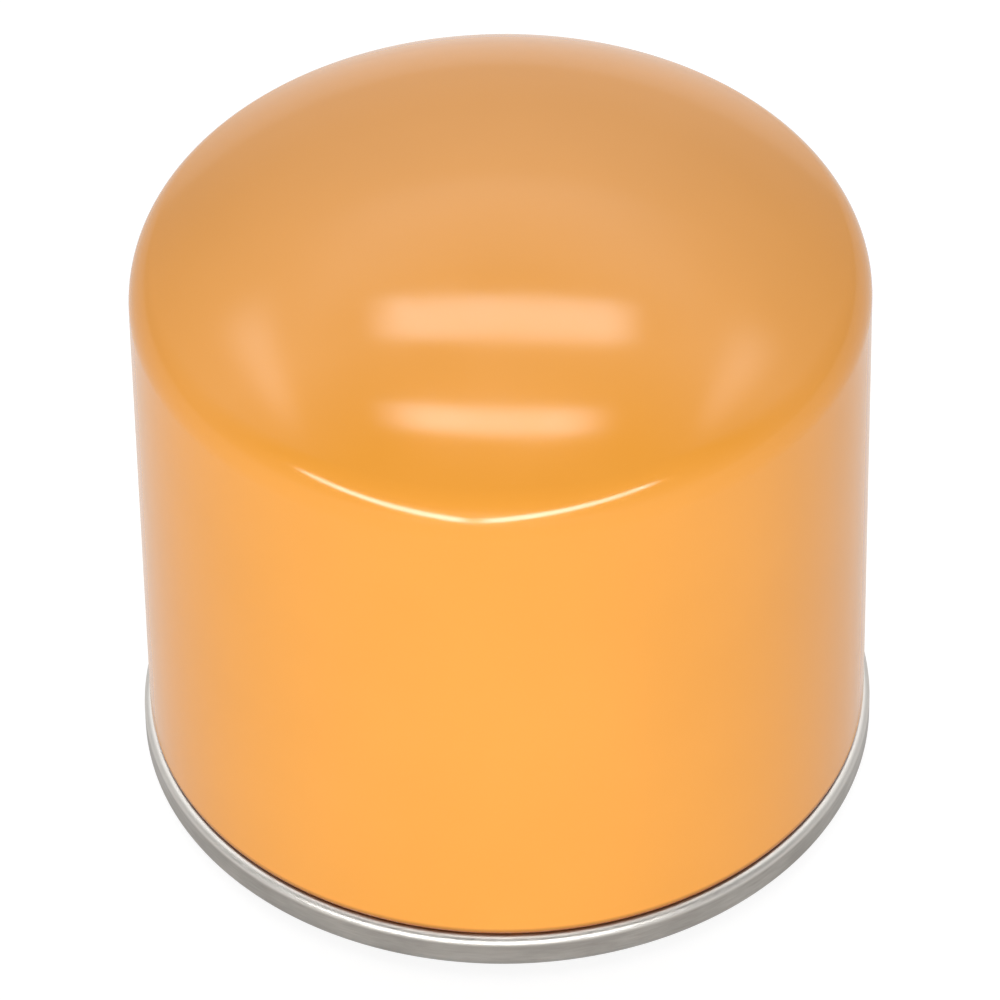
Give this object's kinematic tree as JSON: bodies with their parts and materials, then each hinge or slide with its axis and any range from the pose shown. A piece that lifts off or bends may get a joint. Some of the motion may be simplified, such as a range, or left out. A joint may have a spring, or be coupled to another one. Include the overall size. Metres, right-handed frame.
{
  "type": "spin-on oil filter",
  "caption": "Small-engine spin-on oil filter: a domed painted steel can with a double-seamed base, gasket and threaded hub, and a pleated element with bypass and drain-back valves inside.",
  "frame": {"origin": "centre of the gasket's sealing face, on the thread axis, which is also the bottom centre of the whole part", "axes": "+Z along the thread axis from the gasket up to the top of the dome; +X and +Y are alike, because the shell is round"},
  "size_m": [0.0772, 0.0772, 0.0774],
  "materials": {
    "orange_paint": "gloss",
    "tinned_steel": "satin",
    "plate_steel": "satin",
    "zinc_steel": "satin",
    "spring_steel": "satin",
    "black_rubber": "matte",
    "sealing_compound": "matte",
    "potting": "matte",
    "filter_paper": "matte"
  },
  "bodies": {
    "filter": {"can": "orange_paint", "thread_plate": "plate_steel", "seam_cover": "tinned_steel", "seam_sealant": "sealing_compound", "gasket": "black_rubber", "lower_end_cap": "zinc_steel", "upper_end_cap": "zinc_steel", "lower_potting": "potting", "upper_potting": "potting", "pleated_paper": "filter_paper", "paper_seam_clip": "zinc_steel", "centre_tube": "zinc_steel", "bypass_cage": "zinc_steel", "bypass_seal": "black_rubber", "bypass_spring": "spring_steel", "element_spring": "spring_steel"},
    "bypass_valve": {"bypass_disc": "zinc_steel"},
    "drain_back_lip": {"drain_back_valve": "black_rubber"}
  },
  "joints": [
    {"name": "bypass_opening", "type": "slide", "parent": "filter", "child": "bypass_valve", "axis": [0, 0, -1], "range_m": [0, 0.003], "stiffness_N_per_m": 1900, "springref_m": -0.0062, "deforming": ["bypass_spring"]},
    {"name": "drain_back_lift", "type": "slide", "parent": "filter", "child": "drain_back_lip", "axis": [0, 0, 1], "range_m": [0, 0.001], "stiffness_N_per_m": 300, "springref_m": -0.001, "deforming": ["drain_back_valve"]}
  ]
}
